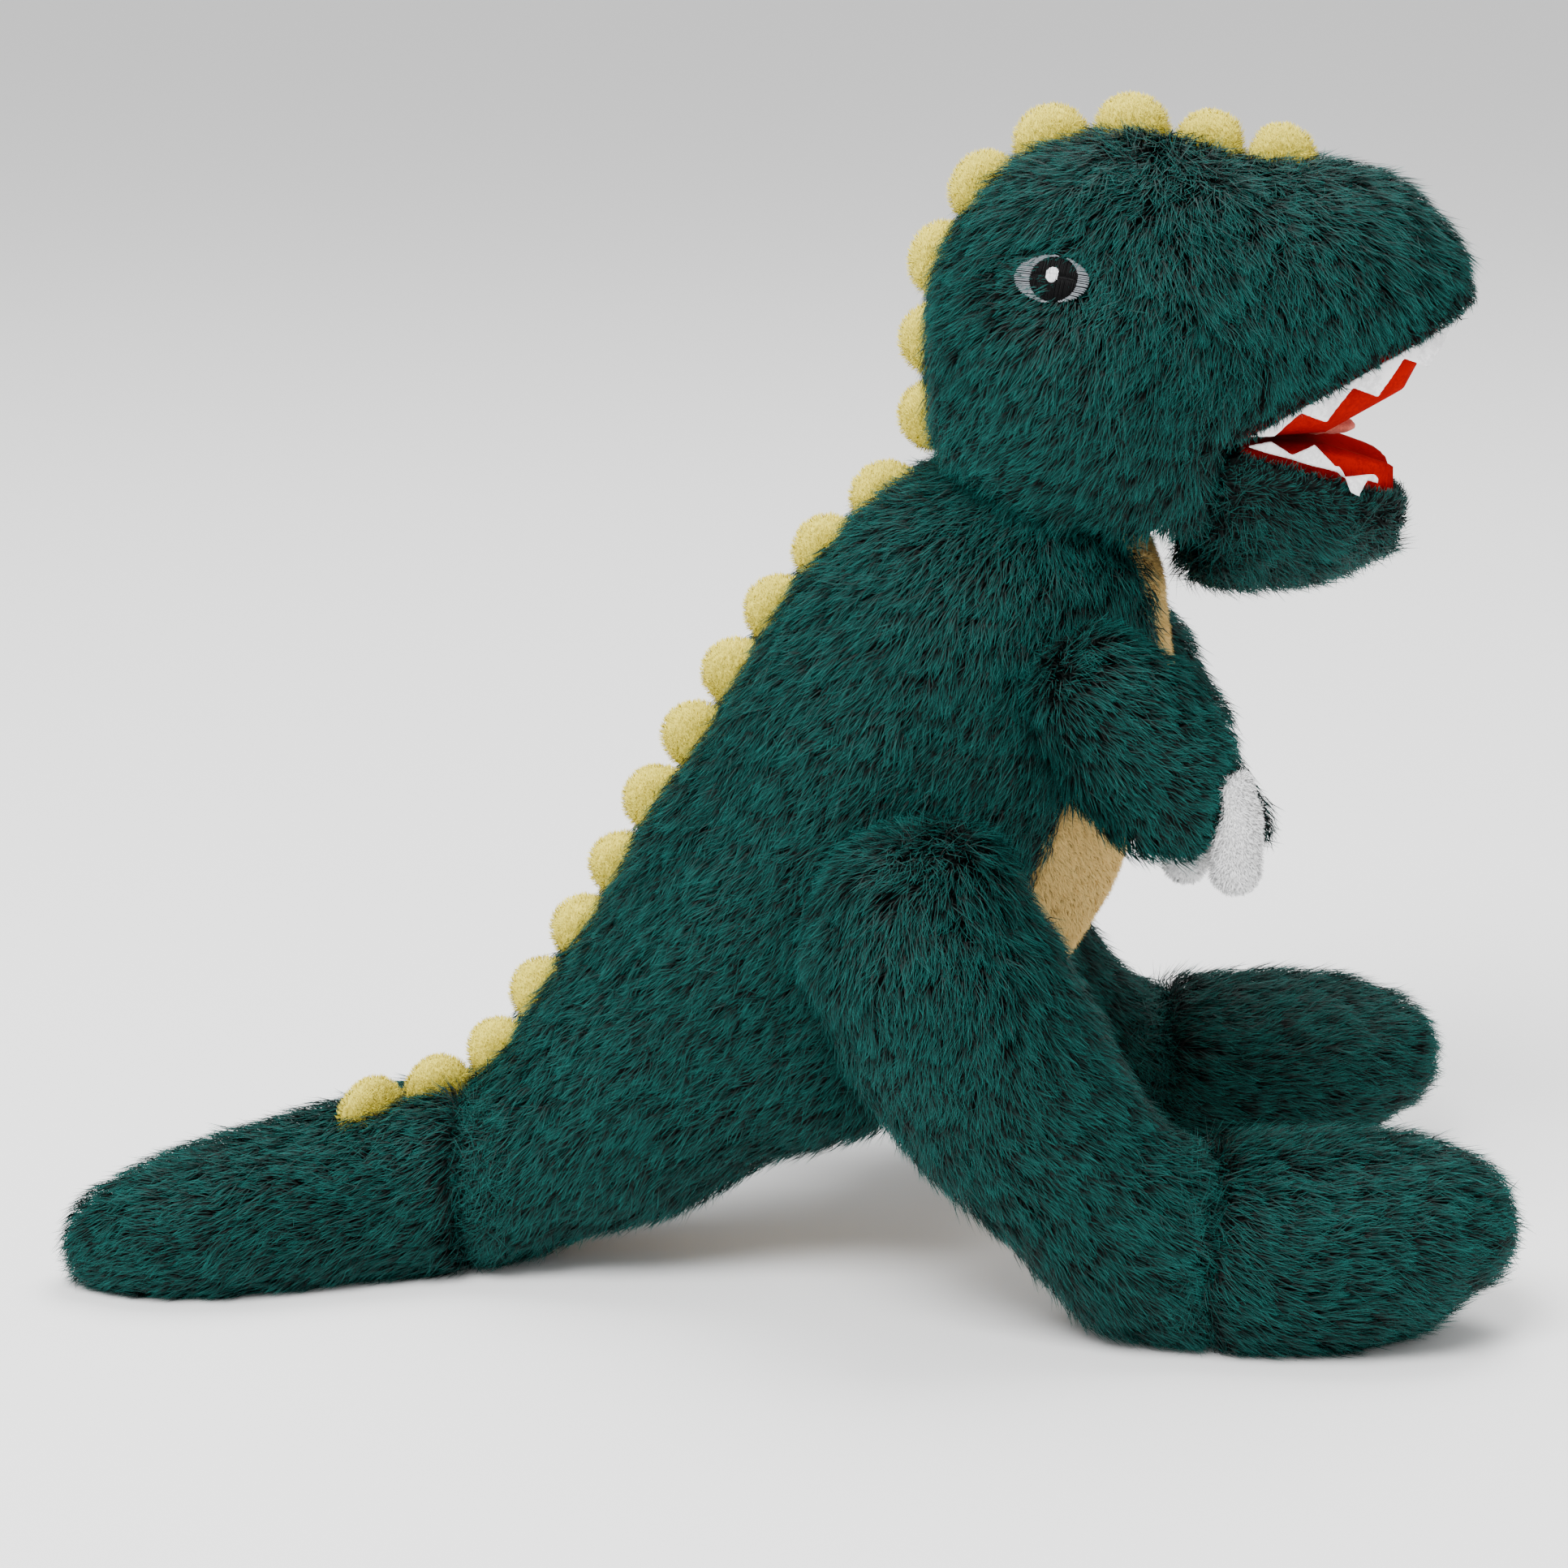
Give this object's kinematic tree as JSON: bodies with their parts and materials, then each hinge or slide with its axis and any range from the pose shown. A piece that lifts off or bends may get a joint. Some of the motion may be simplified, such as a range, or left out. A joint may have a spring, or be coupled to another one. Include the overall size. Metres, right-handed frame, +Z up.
{
  "type": "stuffed dinosaur",
  "caption": "Seated plush dinosaur with an open toothed mouth, short clawed arms, forward feet, a curved tail and a crest of padded half-rounds.",
  "frame": {"origin": "floor level, under the middle of the toy's bounding box", "axes": "+X the way the toy faces, +Y its left side, +Z up"},
  "size_m": [0.3956, 0.222, 0.3352],
  "materials": {
    "green_fur": "long pile",
    "scallop_plush": "short pile",
    "belly_plush": "short pile",
    "white_plush": "short pile",
    "white_felt": "matte felt",
    "red_felt": "matte felt",
    "coral_terry": "terry",
    "stuffing": "loose fibre",
    "black_thread": "satin stitch"
  },
  "bodies": {
    "torso": {"belly_panel": "belly_plush", "body_panel_left": "green_fur", "body_panel_right": "green_fur", "scallop_09": "scallop_plush", "scallop_10": "scallop_plush", "scallop_11": "scallop_plush", "scallop_12": "scallop_plush", "scallop_13": "scallop_plush", "scallop_14": "scallop_plush", "scallop_15": "scallop_plush", "scallop_16": "scallop_plush", "scallop_17": "scallop_plush", "scallop_18": "scallop_plush", "torso_filling": "stuffing"},
    "head": {"eye_left": "black_thread", "eye_right": "black_thread", "head_filling": "stuffing", "head_panel_left": "green_fur", "head_panel_right": "green_fur", "mouth_lining_upper": "red_felt", "scallop_01": "scallop_plush", "scallop_02": "scallop_plush", "scallop_03": "scallop_plush", "scallop_04": "scallop_plush", "scallop_05": "scallop_plush", "scallop_06": "scallop_plush", "scallop_07": "scallop_plush", "scallop_08": "scallop_plush", "upper_teeth_left": "white_felt", "upper_teeth_right": "white_felt"},
    "jaw": {"jaw_cover": "green_fur", "jaw_filling": "stuffing", "lower_teeth_left": "white_felt", "lower_teeth_right": "white_felt", "mouth_lining_lower": "red_felt", "tongue": "coral_terry"},
    "tail": {"scallop_19": "scallop_plush", "scallop_20": "scallop_plush", "tail_filling": "stuffing", "tail_panel_left": "green_fur", "tail_panel_right": "green_fur"},
    "arm_left": {"arm_cover_left": "green_fur", "arm_filling_left": "stuffing", "claw_front_left": "white_plush", "claw_rear_left": "white_plush"},
    "arm_right": {"arm_cover_right": "green_fur", "arm_filling_right": "stuffing", "claw_front_right": "white_plush", "claw_rear_right": "white_plush"},
    "leg_left": {"leg_cover_left": "green_fur", "leg_filling_left": "stuffing"},
    "leg_right": {"leg_cover_right": "green_fur", "leg_filling_right": "stuffing"},
    "foot_left": {"foot_cover_left": "green_fur", "foot_filling_left": "stuffing"},
    "foot_right": {"foot_cover_right": "green_fur", "foot_filling_right": "stuffing"}
  },
  "joints": [
    {"name": "neck_nod", "type": "hinge", "parent": "torso", "child": "head", "pos_m": [0.07657, 0, 0.22355], "axis": [0, 1, 0], "range_deg": [-10, 8], "stiffness_Nm_per_rad": 3},
    {"name": "jaw_open", "type": "hinge", "parent": "head", "child": "jaw", "pos_m": [0.12357, 0, 0.242], "axis": [0, 1, 0], "range_deg": [-10, 6], "stiffness_Nm_per_rad": 0.6},
    {"name": "tail_swing", "type": "hinge", "parent": "torso", "child": "tail", "pos_m": [-0.08543, -0.0135, 0.026], "axis": [0, 0, 1], "range_deg": [-10, 10], "stiffness_Nm_per_rad": 2},
    {"name": "shoulder_left", "type": "hinge", "parent": "torso", "child": "arm_left", "pos_m": [0.09957, 0.05, 0.166], "axis": [0, 1, 0], "range_deg": [-20, 20], "stiffness_Nm_per_rad": 0.4},
    {"name": "hip_left", "type": "hinge", "parent": "torso", "child": "leg_left", "pos_m": [0.04657, 0.05, 0.098], "axis": [0, 1, 0], "range_deg": [-12, 12], "stiffness_Nm_per_rad": 4},
    {"name": "ankle_left", "type": "hinge", "parent": "leg_left", "child": "foot_left", "pos_m": [0.11457, 0.082, 0.0235], "axis": [0, 1, 0], "range_deg": [-8, 8], "stiffness_Nm_per_rad": 1.5},
    {"name": "shoulder_right", "type": "hinge", "parent": "torso", "child": "arm_right", "pos_m": [0.09957, -0.05, 0.166], "axis": [0, 1, 0], "range_deg": [-20, 20], "stiffness_Nm_per_rad": 0.4},
    {"name": "hip_right", "type": "hinge", "parent": "torso", "child": "leg_right", "pos_m": [0.04657, -0.05, 0.098], "axis": [0, 1, 0], "range_deg": [-12, 12], "stiffness_Nm_per_rad": 4},
    {"name": "ankle_right", "type": "hinge", "parent": "leg_right", "child": "foot_right", "pos_m": [0.11457, -0.082, 0.0235], "axis": [0, 1, 0], "range_deg": [-8, 8], "stiffness_Nm_per_rad": 1.5}
  ]
}
